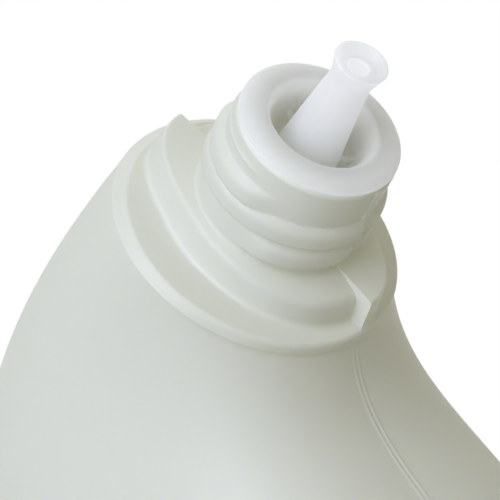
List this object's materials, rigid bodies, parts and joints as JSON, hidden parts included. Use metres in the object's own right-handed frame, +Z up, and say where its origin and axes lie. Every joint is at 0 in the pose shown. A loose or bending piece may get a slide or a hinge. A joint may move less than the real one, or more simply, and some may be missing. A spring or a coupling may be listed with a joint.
{
  "type": "cleaner bottle",
  "caption": "Tall oval blow-moulded cleaner bottle with a leaning screw neck, a ratchet collar and a pressed-in pouring spout, shown without its cap.",
  "frame": {"origin": "centre of the bottle's footprint, on the surface it stands on", "axes": "+Z up along the body, +X towards the side that the neck leans to, in the parting plane"},
  "size_m": [0.108, 0.069, 0.2402],
  "materials": {
    "hdpe": "satin",
    "ldpe": "satin"
  },
  "bodies": {
    "root": {"bottle": "hdpe", "spout_insert": "ldpe"}
  },
  "joints": []
}
